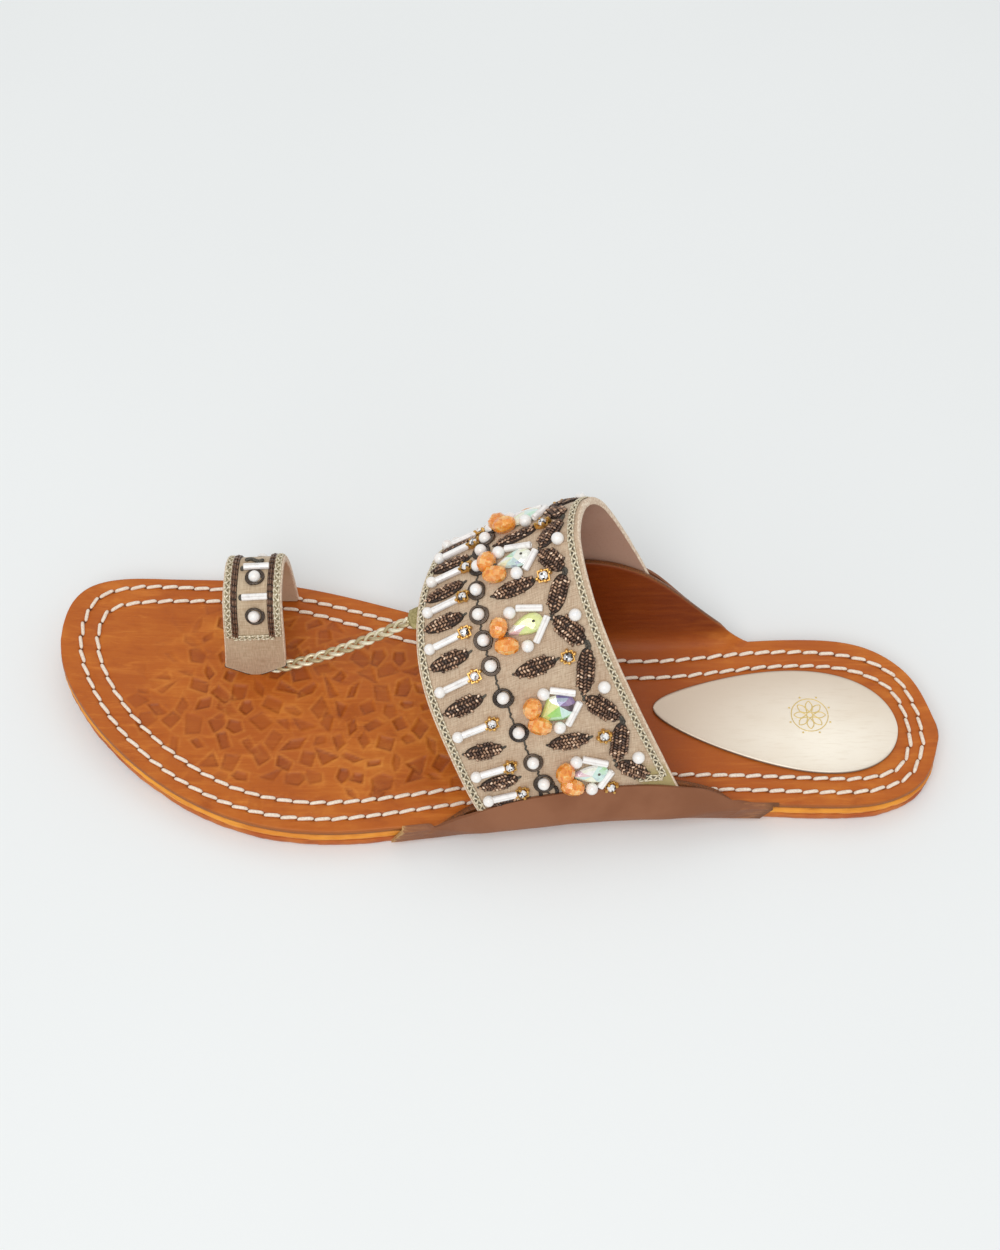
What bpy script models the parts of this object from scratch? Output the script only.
"""Kolhapuri sandal, left foot, EU size 38.

The toe points to -X, the heel to +X, the big-toe side to +Y and up is +Z. Tables and
sizes are in millimetres, with x = 0 at mid length, y = 0 on the heel's centre line and
z = 0 on the ground. At the end the finished pieces are shifted so that the origin lies
at the bottom centre of the whole sandal, and meshes are made in metres.
"""
import math
from collections import namedtuple

import bmesh
import bpy
import numpy as np
from mathutils import Vector

MM = 0.001                 # metres in a millimetre
GAP = 0.3                  # clearance between touching pieces

# ---------------------------------------------------------------- driving sizes
OUTSOLE_THICKNESS = 3.1
MIDSOLE_THICKNESS = 2.4
TOPSOLE_THICKNESS = 2.2
BAND_THICKNESS = 2.0
COVER_THICKNESS = 1.0
PAD_THICKNESS = 0.8
LOOP_THICKNESS = 2.0

TOE_SPRING = 4.5           # height of the outsole under the toe tip
TOE_SPRING_START = -72.0   # x where the forefoot leaves the ground
ARCH_RISE = 1.2            # height of the outsole under the waist
ARCH_FRONT = -15.0         # x where the waist leaves the ground
ARCH_BACK = 64.0           # x where the heel meets the ground
HEEL_ROLL = 0.6            # lift of the outsole's back edge
HEEL_ROLL_START = 116.0

EDGE_CHAMFER = 0.6         # broken lower edge of the outsole
TOPSOLE_INSET = 0.5        # topsole edge inside the midsole edge
FOLD_RADIUS = 3.5          # where an ear turns up from the footbed
FOLD_SHARE = 0.3           # the most of a short cross line that a fold may take

SPANS_PER_ROW = 4          # loft sections between two rows of the sole table
SHARP_ANGLE = math.radians(35.0)   # edges steeper than this are shaded sharp

# Cross lines of the sole from toe to heel: where each meets the outer (lateral) and
# the inner (medial, big-toe) edge.
SoleRow = namedtuple("SoleRow", "name lat_x lat_y med_x med_y")
SOLE_ROWS = (
    SoleRow("toe tip", -127.4, 24.0, -127.4, 29.5),
    SoleRow("toe corner", -126.2, 17.5, -126.0, 37.4),
    SoleRow("toe side", -121.5, 7.0, -121.8, 43.9),
    SoleRow("toe shoulder", -112.3, -5.3, -113.5, 47.7),
    SoleRow("toes", -97.2, -18.9, -98.5, 48.9),
    SoleRow("forefoot", -75.0, -31.1, -77.0, 48.9),
    SoleRow("ball", -50.0, -36.2, -51.0, 44.9),
    SoleRow("behind the ball", -20.0, -34.0, -22.0, 36.6),
    SoleRow("front of waist", 10.0, -30.2, 10.0, 28.4),
    SoleRow("waist", 40.0, -28.0, 40.0, 24.7),
    SoleRow("front of heel", 69.0, -27.4, 68.0, 26.6),
    SoleRow("heel", 95.0, -28.1, 94.0, 27.9),
    SoleRow("back of heel", 112.5, -26.3, 111.5, 24.9),
    SoleRow("heel corner", 123.2, -19.8, 122.6, 15.8),
    SoleRow("heel tip", 128.5, -8.0, 128.2, 1.0),
)

# The foot form that the ears and the instep band are laid over. At each x: how far
# the outer wall leans in and the inner wall leans out (degrees from upright), the
# place of the crown, and the reach of the curves from the walls and from the crown.
FormRow = namedtuple(
    "FormRow", "x lat_lean lat_reach crown_y crown_z lat_crown med_crown med_lean med_reach"
)
FORM_ROWS = (
    FormRow(-20.0, 12.5, 12.0, 15.5, 43.0, 21.5, 15.5, 6.0, 23.8),
    FormRow(23.5, 13.5, 12.0, 23.5, 62.4, 9.5, 20.5, 30.6, 38.0),
    FormRow(52.5, 23.5, 13.0, 28.0, 74.0, 8.0, 18.0, 29.0, 36.0),
)

# Height of each ear's top edge above the footbed, along the sandal.
EarRow = namedtuple("EarRow", "x rise")
LATERAL_EAR = (
    EarRow(-27.0, 0.0),
    EarRow(-18.0, 1.6),
    EarRow(-9.0, 4.2),
    EarRow(2.0, 6.4),
    EarRow(25.0, 7.8),
    EarRow(48.0, 8.0),
    EarRow(58.0, 6.2),
    EarRow(68.0, 3.0),
    EarRow(77.0, 0.0),
)
MEDIAL_EAR = (
    EarRow(-24.0, 0.0),
    EarRow(-12.0, 8.0),
    EarRow(2.0, 17.0),
    EarRow(20.0, 24.0),
    EarRow(34.0, 24.8),
    EarRow(47.0, 21.0),
    EarRow(58.0, 13.4),
    EarRow(68.0, 5.4),
    EarRow(76.0, 0.0),
)

# Ear covers: ends of each top edge. The foot of a cover lies further to the front, so
# that both ends are cut on the slant.
CoverSpan = namedtuple("CoverSpan", "front_x rear_x")
LATERAL_COVER = CoverSpan(-23.0, 81.0)
MEDIAL_COVER = CoverSpan(-19.0, 79.0)
COVER_SLANT = 5.0          # how far the foot lies in front of the top edge
COVER_FOOT = 2.8           # height of the foot above the outsole's underside
COVER_WAIST = 0.6          # share of the slant taken up below the footbed's edge
COVER_LIP = 0.5            # least height of the top edge above the footbed
COVER_RAMP = 14.0          # length over which a cover climbs onto the band

# Edges of the instep band. "across" runs over the foot form from the outer footbed
# edge (0) over the crown (0.5) to the inner footbed edge (1).
BandRow = namedtuple("BandRow", "name across front_x rear_x")
BAND_ROWS = (
    BandRow("outer hem", 0.03, -2.2, 54.5),
    BandRow("outer wall", 0.105, -6.5, 48.6),
    BandRow("outer flank", 0.21, -12.4, 39.0),
    BandRow("outer shoulder", 0.31, -17.2, 31.0),
    BandRow("outer crown", 0.40, -19.0, 26.7),
    BandRow("crown", 0.50, -17.9, 25.3),
    BandRow("inner crown", 0.60, -15.2, 26.9),
    BandRow("inner shoulder", 0.71, -12.5, 31.7),
    BandRow("inner flank", 0.81, -10.2, 38.2),
    BandRow("inner wall", 0.89, -8.6, 45.6),
    BandRow("inner hem", 0.96, -7.5, 51.5),
)

# Toe loop: an upright arch over the big toe.
LOOP_WIDTH = 18.0
LOOP_NEAR_X = -69.3        # middle of the strap at its near foot
LOOP_TOP_X = -67.3
LOOP_FAR_X = -67.2
LOOP_NEAR_Y = 16.0
LOOP_FAR_Y = 41.6
LOOP_HEIGHT = 31.5
LOOP_SQUARENESS = 2.9      # exponent of the superellipse, 2 is round
LOOP_POINT_DEPTH = 5.0     # length of the pointed near end
LOOP_POINT_WIDTH = 3.0     # width where the point enters the footbed

# Braid from the toe loop's base to the underside of the band's front edge.
BRAID_WIDTH = 5.0
BRAID_THICKNESS = 2.6
BRAID_TAB_WIDTH = 6.5
BRAID_TAB_THICKNESS = 1.2
BRAID_SAG = 2.6
BRAID_START_X = -64.4
BRAID_START_Y = 16.1
BRAID_END_X = -13.0        # under the band
BRAID_TAB_LENGTH = 9.0
BRAID_ACROSS = 0.475       # where it meets the band, across the foot form

# Heel pad: an egg, narrow end to the front.
PAD_FRONT_X = 46.8
PAD_BACK_X = 117.0
PAD_FRONT_Y = 3.2
PAD_BACK_Y = -2.9
PAD_NARROW = 19.0          # width factor at the front end
PAD_SPREAD = 24.6          # what it gains towards the back end

SOLE_TOP = OUTSOLE_THICKNESS + GAP + MIDSOLE_THICKNESS + GAP + TOPSOLE_THICKNESS
BAND_INNER = TOPSOLE_THICKNESS + GAP
BAND_OUTER = BAND_INNER + BAND_THICKNESS

# ---------------------------------------------------------------- fineness
EAR_POINTS = 7             # points from the fold line to the free edge
FOOTBED_STEPS = 4          # between the two fold lines
BAND_ACROSS_STEPS = 44
BAND_ALONG_STEPS = 8
COVER_ALONG_STEPS = 30
COVER_WALL_POINTS = 5
LOOP_STEPS = 26
BRAID_SIDES = 10
BRAID_RUN_STEPS = 16
BRAID_TAB_STEPS = 4
PAD_STEPS = 24
HALVINGS = 30              # of the search for a height on the foot form


# ---------------------------------------------------------------- curves
def spline(knots, values):
    """Natural cubic spline through values at rising knots, as a function of one number."""
    knots = np.asarray(knots, float)
    values = np.asarray(values, float)
    count = len(knots)
    step = np.diff(knots)
    slope = np.diff(values) / step
    matrix = np.eye(count)
    right = np.zeros(count)
    for i in range(1, count - 1):
        matrix[i, i - 1] = step[i - 1]
        matrix[i, i] = 2.0 * (step[i - 1] + step[i])
        matrix[i, i + 1] = step[i]
        right[i] = 6.0 * (slope[i] - slope[i - 1])
    bend = np.linalg.solve(matrix, right)

    def at(t):
        i = int(np.clip(np.searchsorted(knots, t) - 1, 0, count - 2))
        before = t - knots[i]
        after = knots[i + 1] - t
        width = step[i]
        return (
            (bend[i] * after ** 3 + bend[i + 1] * before ** 3) / (6.0 * width)
            + (values[i] / width - bend[i] * width / 6.0) * after
            + (values[i + 1] / width - bend[i + 1] * width / 6.0) * before
        )

    return at


def column(rows, name):
    return [getattr(row, name) for row in rows]


def table_curve(rows, key, name):
    """Spline of one named column of a table against its key column."""
    return spline(column(rows, key), column(rows, name))


def smoothstep(t):
    t = min(max(t, 0.0), 1.0)
    return t * t * (3.0 - 2.0 * t)


def mix(a, b, t):
    return a + (b - a) * t


# ---------------------------------------------------------------- sole
def edge_curve(x_name, y_name):
    """Curve of one sole edge, as a function of the row number (0 at the toe tip)."""
    xs = column(SOLE_ROWS, x_name)
    ys = column(SOLE_ROWS, y_name)
    chords = [0.0]
    for i in range(1, len(xs)):
        chords.append(chords[-1] + math.hypot(xs[i] - xs[i - 1], ys[i] - ys[i - 1]))
    x_at = spline(chords, xs)
    y_at = spline(chords, ys)
    rows = range(len(xs))

    def at(row):
        length = float(np.interp(row, rows, chords))
        return x_at(length), y_at(length)

    return at


LATERAL_EDGE = edge_curve("lat_x", "lat_y")
MEDIAL_EDGE = edge_curve("med_x", "med_y")
SECTION_ROWS = [
    i / SPANS_PER_ROW for i in range((len(SOLE_ROWS) - 1) * SPANS_PER_ROW + 1)
]
LATERAL_SAMPLES = np.array([LATERAL_EDGE(row) for row in SECTION_ROWS])
MEDIAL_SAMPLES = np.array([MEDIAL_EDGE(row) for row in SECTION_ROWS])


def edge_y(side, x):
    """y of the sole's edge at x, away from the rounded toe and heel."""
    samples = LATERAL_SAMPLES if side < 0 else MEDIAL_SAMPLES
    return float(np.interp(x, samples[:, 0], samples[:, 1]))


def ground_rise(x):
    """Height of the outsole's underside above the ground."""
    if x < TOE_SPRING_START:
        reach = (TOE_SPRING_START - x) / (TOE_SPRING_START - SOLE_ROWS[0].lat_x)
        return TOE_SPRING * reach * reach
    if ARCH_FRONT < x < ARCH_BACK:
        phase = (x - ARCH_FRONT) / (ARCH_BACK - ARCH_FRONT)
        return ARCH_RISE * math.sin(math.pi * phase) ** 2
    if x > HEEL_ROLL_START:
        reach = (x - HEEL_ROLL_START) / (SOLE_ROWS[-1].lat_x - HEEL_ROLL_START)
        return HEEL_ROLL * reach * reach
    return 0.0


def cross_line(row, inset=0.0):
    """Ends of a cross line of the sole, each moved inwards by inset."""
    lat = Vector(LATERAL_EDGE(row))
    med = Vector(MEDIAL_EDGE(row))
    shrink = 1.0 - inset / SOLE_ROWS[-1].lat_x
    if 0.0 < row < len(SOLE_ROWS) - 1:
        inward = (med - lat).normalized() * inset
        lat += inward
        med -= inward
    lat.x *= shrink
    med.x *= shrink
    return lat, med


# ---------------------------------------------------------------- foot form
FORM_AT = {name: table_curve(FORM_ROWS, "x", name) for name in FormRow._fields[1:]}


def bezier(points, t):
    a, b, c, d = points
    s = 1.0 - t
    return a * s ** 3 + b * (3 * s * s * t) + c * (3 * s * t * t) + d * t ** 3


def form_section(x):
    """The two curves of the foot form at x, outer half and inner half, as (y, z) points."""
    size = {name: curve(x) for name, curve in FORM_AT.items()}
    base_z = ground_rise(x) + SOLE_TOP
    lat_base = Vector((edge_y(-1, x) + TOPSOLE_INSET, base_z))
    med_base = Vector((edge_y(1, x) - TOPSOLE_INSET, base_z))
    lat_lean = math.radians(size["lat_lean"])
    med_lean = math.radians(size["med_lean"])
    lat_up = Vector((math.sin(lat_lean), math.cos(lat_lean)))
    med_up = Vector((math.sin(med_lean), math.cos(med_lean)))
    crown = Vector((size["crown_y"], size["crown_z"]))
    outer = (
        lat_base,
        lat_base + lat_up * size["lat_reach"],
        crown - Vector((size["lat_crown"], 0.0)),
        crown,
    )
    inner = (
        crown,
        crown + Vector((size["med_crown"], 0.0)),
        med_base + med_up * size["med_reach"],
        med_base,
    )
    return outer, inner


def form_flat(x, across):
    """(y, z) of the foot form at x; across is 0 at the outer edge, 1 at the inner."""
    outer, inner = form_section(x)
    if across < 0.5:
        return bezier(outer, 2.0 * across)
    return bezier(inner, 2.0 * across - 1.0)


def form_point(x, across, offset):
    """Point of the foot form, moved outwards by offset along its normal."""
    step_x = 0.5           # for the slopes along and across
    step_across = 0.004
    y0, z0 = form_flat(x - step_x, across)
    y1, z1 = form_flat(x + step_x, across)
    along = Vector((2.0 * step_x, y1 - y0, z1 - z0))
    low = max(across - step_across, 0.0)
    high = min(across + step_across, 1.0)
    y2, z2 = form_flat(x, low)
    y3, z3 = form_flat(x, high)
    over = Vector((0.0, y3 - y2, z3 - z2))
    normal = along.cross(over)
    normal.normalize()
    y, z = form_flat(x, across)
    return Vector((x, y, z)) + normal * offset


def across_at_rise(side, x, rise):
    """Where the foot form is a given height above the footbed, on one side."""
    target = ground_rise(x) + SOLE_TOP + rise
    low, high = (0.0, 0.5) if side < 0 else (1.0, 0.5)
    for _ in range(HALVINGS):
        middle = 0.5 * (low + high)
        if form_flat(x, middle)[1] < target:
            low = middle
        else:
            high = middle
    return low


# ---------------------------------------------------------------- meshes
def material(name, colour, roughness, metallic=0.0):
    made = bpy.data.materials.new(name)
    made.use_nodes = True
    shader = made.node_tree.nodes["Principled BSDF"]
    shader.inputs["Base Color"].default_value = (*colour, 1.0)
    shader.inputs["Roughness"].default_value = roughness
    shader.inputs["Metallic"].default_value = metallic
    return made


def make_object(name, bm, surface):
    bmesh.ops.recalc_face_normals(bm, faces=bm.faces)
    mesh = bpy.data.meshes.new(name)
    bm.to_mesh(mesh)
    bm.free()
    mesh.shade_smooth()
    mesh.set_sharp_from_angle(angle=SHARP_ANGLE)
    mesh.materials.append(surface)
    made = bpy.data.objects.new(name, mesh)
    bpy.context.collection.objects.link(made)
    return made


def loft(name, sections, surface):
    """Closed solid through closed sections that all have the same number of points."""
    bm = bmesh.new()
    rings = [[bm.verts.new(point * MM) for point in section] for section in sections]
    count = len(rings[0])
    for ring, following in zip(rings, rings[1:]):
        for i in range(count):
            j = (i + 1) % count
            bm.faces.new((ring[i], ring[j], following[j], following[i]))
    bm.faces.new(reversed(rings[0]))
    bm.faces.new(rings[-1])
    return make_object(name, bm, surface)


def sheet_solid(name, inner_rows, outer_rows, surface):
    """Closed solid between two grids of points, closed by a rim."""
    bm = bmesh.new()
    inner = [[bm.verts.new(point * MM) for point in row] for row in inner_rows]
    outer = [[bm.verts.new(point * MM) for point in row] for row in outer_rows]
    rows = len(inner)
    columns = len(inner[0])
    for i in range(rows - 1):
        for j in range(columns - 1):
            bm.faces.new((inner[i][j], inner[i][j + 1], inner[i + 1][j + 1], inner[i + 1][j]))
            bm.faces.new((outer[i][j], outer[i + 1][j], outer[i + 1][j + 1], outer[i][j + 1]))
    for i in range(rows - 1):
        bm.faces.new((inner[i][0], inner[i + 1][0], outer[i + 1][0], outer[i][0]))
        bm.faces.new((inner[i + 1][-1], inner[i][-1], outer[i][-1], outer[i + 1][-1]))
    for j in range(columns - 1):
        bm.faces.new((inner[0][j + 1], inner[0][j], outer[0][j], outer[0][j + 1]))
        bm.faces.new((inner[-1][j], inner[-1][j + 1], outer[-1][j + 1], outer[-1][j]))
    return make_object(name, bm, surface)


# ---------------------------------------------------------------- sole pieces
def sole_layer(name, bottom, thickness, chamfer, surface):
    """A flat leather layer of the sole that follows the ground line."""
    sections = []
    for row in SECTION_ROWS:
        lat, med = cross_line(row)
        direction = (med - lat).normalized()
        lat_low = lat + direction * chamfer
        med_low = med - direction * chamfer
        lat_z = ground_rise(lat.x) + bottom
        med_z = ground_rise(med.x) + bottom
        sections.append([
            Vector((*lat_low, lat_z)),
            Vector((*lat, lat_z + chamfer)),
            Vector((*lat, lat_z + thickness)),
            Vector((*med, med_z + thickness)),
            Vector((*med, med_z + chamfer)),
            Vector((*med_low, med_z)),
        ])
    return loft(name, sections, surface)


def ear_path(side, x, fold, rise):
    """Upper surface of the footbed at one edge, from the fold line to the free edge.

    The leather lies flat from the fold line to the sole's edge, then follows the foot
    form up to its rise; the corner between the two is rounded."""
    base_y = edge_y(side, x) - side * TOPSOLE_INSET
    corner = Vector((base_y, ground_rise(x) + SOLE_TOP))
    radius = min(FOLD_RADIUS, rise)
    edge = 0.0 if side < 0 else 1.0
    top = across_at_rise(side, x, rise)
    total = FOLD_RADIUS + rise
    points = []
    for i in range(EAR_POINTS):
        distance = total * i / (EAR_POINTS - 1)
        if rise <= 0.0 or distance <= FOLD_RADIUS - radius:
            points.append(Vector((fold + side * distance, corner.y)))
        elif distance >= FOLD_RADIUS + radius:
            share = (distance - FOLD_RADIUS) / rise
            points.append(form_flat(x, mix(edge, top, share)))
        else:
            start = Vector((corner.x - side * radius, corner.y))
            finish = form_flat(x, mix(edge, top, radius / rise))
            t = (distance - FOLD_RADIUS + radius) / (2.0 * radius)
            points.append(start * (1 - t) ** 2 + corner * (2 * t * (1 - t)) + finish * t * t)
    return points


def footbed_side(side, edge, fold, ear, rise_at):
    """Upper surface of the footbed from one fold line outwards: an ear, or flat."""
    if ear[0].x < edge.x < ear[-1].x:
        path = ear_path(side, edge.x, fold.y, max(rise_at(edge.x), 0.0))
        return [Vector((edge.x, y, z)) for y, z in path]
    path = [fold.lerp(edge, i / (EAR_POINTS - 1)) for i in range(EAR_POINTS)]
    return [Vector((*place, ground_rise(place.x) + SOLE_TOP)) for place in path]


def thickened(top):
    """Section of the leather below an open line of points on its upper surface."""
    bottom = []
    for i, point in enumerate(top):
        before = top[max(i - 1, 0)]
        after = top[min(i + 1, len(top) - 1)]
        along = (after - before).normalized()
        down = Vector((0.0, along.z, -along.y)).normalized()
        bottom.append(point + down * TOPSOLE_THICKNESS)
    return top + list(reversed(bottom))


def build_topsole(surface):
    """Footbed with both ears in one piece."""
    lateral_rise = table_curve(LATERAL_EAR, "x", "rise")
    medial_rise = table_curve(MEDIAL_EAR, "x", "rise")
    sections = []
    for row in SECTION_ROWS:
        lat, med = cross_line(row, TOPSOLE_INSET)
        margin = min(FOLD_RADIUS, FOLD_SHARE * (med - lat).length)
        inward = (med - lat).normalized() * margin
        lat_fold = lat + inward
        med_fold = med - inward
        top = footbed_side(-1, lat, lat_fold, LATERAL_EAR, lateral_rise)[::-1]
        for i in range(1, FOOTBED_STEPS):
            place = lat_fold.lerp(med_fold, i / FOOTBED_STEPS)
            top.append(Vector((*place, ground_rise(place.x) + SOLE_TOP)))
        top += footbed_side(1, med, med_fold, MEDIAL_EAR, medial_rise)
        sections.append(thickened(top))
    return loft("topsole", sections, surface)


# ---------------------------------------------------------------- upper pieces
def build_band(surface):
    """Instep band: one shell over the foot form, open at both ends and underneath."""
    front = table_curve(BAND_ROWS, "across", "front_x")
    rear = table_curve(BAND_ROWS, "across", "rear_x")
    first = BAND_ROWS[0].across
    last = BAND_ROWS[-1].across
    shares = [j / BAND_ALONG_STEPS for j in range(BAND_ALONG_STEPS + 1)]
    inner = []
    outer = []
    for i in range(BAND_ACROSS_STEPS + 1):
        across = mix(first, last, i / BAND_ACROSS_STEPS)
        xs = [mix(front(across), rear(across), share) for share in shares]
        inner.append([form_point(x, across, BAND_INNER) for x in xs])
        outer.append([form_point(x, across, BAND_OUTER) for x in xs])
    return sheet_solid("upper_band", inner, outer, surface)


def build_cover(name, side, ear, span, surface):
    """Thin leather facing outside one ear, from the outsole's edge to the ear's top."""
    rise_at = table_curve(ear, "x", "rise")
    edge, hem = (0.0, BAND_ROWS[0]) if side < 0 else (1.0, BAND_ROWS[-1])

    def clearance(x):
        """How far the inner face stands off the foot form: it climbs onto the band."""
        front = smoothstep((x - hem.front_x + COVER_RAMP) / COVER_RAMP)
        rear = smoothstep((hem.rear_x + COVER_RAMP - x) / COVER_RAMP)
        return mix(TOPSOLE_THICKNESS, BAND_OUTER, front * rear) + GAP

    inner = []
    outer = []
    for i in range(COVER_ALONG_STEPS + 1):
        top_x = mix(span.front_x, span.rear_x, i / COVER_ALONG_STEPS)
        foot_x = top_x - COVER_SLANT
        foot_z = ground_rise(foot_x) + COVER_FOOT
        wall = [Vector((foot_x, edge_y(side, foot_x) + side * GAP, foot_z))]
        for k in range(COVER_WALL_POINTS):
            share = k / (COVER_WALL_POINTS - 1)
            x = mix(foot_x, top_x, mix(COVER_WAIST, 1.0, share))
            top = across_at_rise(side, x, max(rise_at(x), COVER_LIP))
            wall.append(form_point(x, mix(edge, top, share), clearance(x)))
        facing = []
        for k, point in enumerate(wall):
            before = wall[max(k - 1, 0)]
            after = wall[min(k + 1, len(wall) - 1)]
            along = after - before
            out = Vector((0.0, side * along.z, -side * along.y)).normalized()
            facing.append(point + out * COVER_THICKNESS)
        inner.append(wall)
        outer.append(facing)
    return sheet_solid(name, inner, outer, surface)


def loop_path(angle):
    """(y, height) of the toe loop's middle line; angle 0 is the near foot, pi the far."""
    half_span = 0.5 * (LOOP_FAR_Y - LOOP_NEAR_Y)
    power = 2.0 / LOOP_SQUARENESS
    cosine = math.cos(angle)
    sine = max(math.sin(angle), 0.0)
    y = 0.5 * (LOOP_FAR_Y + LOOP_NEAR_Y) - half_span * math.copysign(abs(cosine) ** power, cosine)
    return Vector((y, LOOP_HEIGHT * sine ** power))


def build_toe_loop(surface):
    """Strap arch over the big toe, with a pointed near end."""
    base_z = SOLE_TOP + GAP
    middle = [loop_path(math.pi * i / LOOP_STEPS) for i in range(LOOP_STEPS + 1)]
    sections = []
    for i, place in enumerate(middle):
        before = middle[max(i - 1, 0)]
        after = middle[min(i + 1, LOOP_STEPS)]
        along = (after - before).normalized()
        out = Vector((-along.y, along.x)) * (0.5 * LOOP_THICKNESS)
        near = i < LOOP_STEPS / 2
        share = min(place.y / LOOP_POINT_DEPTH, 1.0) if near else 1.0
        half_width = 0.5 * mix(LOOP_POINT_WIDTH, LOOP_WIDTH, share)
        climb = 1.0 - (1.0 - place.y / LOOP_HEIGHT) ** 2
        x = mix(LOOP_NEAR_X if near else LOOP_FAR_X, LOOP_TOP_X, climb)
        z = base_z + place.y + ground_rise(x)
        sections.append([
            Vector((x - half_width, place.x + out.x, z + out.y)),
            Vector((x + half_width, place.x + out.x, z + out.y)),
            Vector((x + half_width, place.x - out.x, z - out.y)),
            Vector((x - half_width, place.x - out.x, z - out.y)),
        ])
    return loft("toe_loop", sections, surface)


def braid_path():
    """(place, width, thickness) along the plait: a sagging run, then the flat tab."""
    drop = GAP + 0.5 * BRAID_TAB_THICKNESS
    tab = []
    for i in range(BRAID_TAB_STEPS + 1):
        x = mix(BRAID_END_X - BRAID_TAB_LENGTH, BRAID_END_X, i / BRAID_TAB_STEPS)
        tab.append(form_point(x, BRAID_ACROSS, BAND_INNER - drop))
    start_z = SOLE_TOP + GAP + 0.5 * BRAID_THICKNESS
    start = Vector((BRAID_START_X, BRAID_START_Y, start_z))
    path = []
    for i in range(BRAID_RUN_STEPS):
        t = i / BRAID_RUN_STEPS
        place = start.lerp(tab[0], t)
        place.z = max(place.z - 4.0 * BRAID_SAG * t * (1.0 - t), start_z)
        path.append((place, BRAID_WIDTH, BRAID_THICKNESS))
    path += [(place, BRAID_TAB_WIDTH, BRAID_TAB_THICKNESS) for place in tab]
    return path


def build_braid(surface):
    """Plain flattened tube in the place of the plait."""
    path = braid_path()
    sections = []
    for i, (place, width, thickness) in enumerate(path):
        before = path[max(i - 1, 0)][0]
        after = path[min(i + 1, len(path) - 1)][0]
        along = (after - before).normalized()
        across = Vector((0.0, 1.0, 0.0))
        across = (across - along * across.dot(along)).normalized()
        up = along.cross(across)
        section = []
        for k in range(BRAID_SIDES):
            angle = 2.0 * math.pi * k / BRAID_SIDES
            sideways = across * (0.5 * width * math.cos(angle))
            upwards = up * (0.5 * thickness * math.sin(angle))
            section.append(place + sideways + upwards)
        sections.append(section)
    return loft("toe_braid", sections, surface)


def build_heel_pad(surface):
    """Egg-shaped pad that lies on the footbed."""
    bottom = SOLE_TOP + GAP
    sections = []
    for i in range(1, PAD_STEPS):
        share = 0.5 - 0.5 * math.cos(math.pi * i / PAD_STEPS)
        x = mix(PAD_FRONT_X, PAD_BACK_X, share)
        y = mix(PAD_FRONT_Y, PAD_BACK_Y, share)
        half_width = math.sqrt(share * (1.0 - share)) * (PAD_NARROW + PAD_SPREAD * share)
        low = ground_rise(x) + bottom
        high = low + PAD_THICKNESS
        sections.append([
            Vector((x, y - half_width, low)),
            Vector((x, y - half_width, high)),
            Vector((x, y + half_width, high)),
            Vector((x, y + half_width, low)),
        ])
    return loft("heel_pad", sections, surface)


# ---------------------------------------------------------------- assembly
def clear_scene():
    for item in list(bpy.data.objects):
        bpy.data.objects.remove(item, do_unlink=True)


def stand_on_origin(pieces):
    """Shift all pieces so that the origin is the bottom centre of their common box."""
    corners = [piece.matrix_world @ vert.co for piece in pieces for vert in piece.data.vertices]
    low = Vector([min(corner[axis] for corner in corners) for axis in range(3)])
    high = Vector([max(corner[axis] for corner in corners) for axis in range(3)])
    shift = Vector((-(low.x + high.x) / 2.0, -(low.y + high.y) / 2.0, -low.z))
    for piece in pieces:
        piece.location = shift


def main():
    clear_scene()
    bottom_leather = material("bottom_leather", (0.36, 0.14, 0.04), 0.6)
    edge_leather = material("edge_leather", (0.75, 0.36, 0.07), 0.5)
    tan_leather = material("tan_leather", (0.58, 0.20, 0.05), 0.45)
    brown_leather = material("brown_leather", (0.32, 0.15, 0.09), 0.5)
    raw_silk = material("raw_silk", (0.47, 0.36, 0.25), 0.8)
    gold_cord = material("gold_cord", (0.55, 0.45, 0.26), 0.45, 0.5)
    champagne = material("champagne", (0.72, 0.64, 0.50), 0.35, 0.5)
    midsole_bottom = OUTSOLE_THICKNESS + GAP
    pieces = [
        sole_layer("outsole", 0.0, OUTSOLE_THICKNESS, EDGE_CHAMFER, bottom_leather),
        sole_layer("midsole", midsole_bottom, MIDSOLE_THICKNESS, EDGE_CHAMFER / 2, edge_leather),
        build_topsole(tan_leather),
        build_band(raw_silk),
        build_cover("ear_cover_lateral", -1, LATERAL_EAR, LATERAL_COVER, brown_leather),
        build_cover("ear_cover_medial", 1, MEDIAL_EAR, MEDIAL_COVER, brown_leather),
        build_toe_loop(raw_silk),
        build_braid(gold_cord),
        build_heel_pad(champagne),
    ]
    stand_on_origin(pieces)


main()
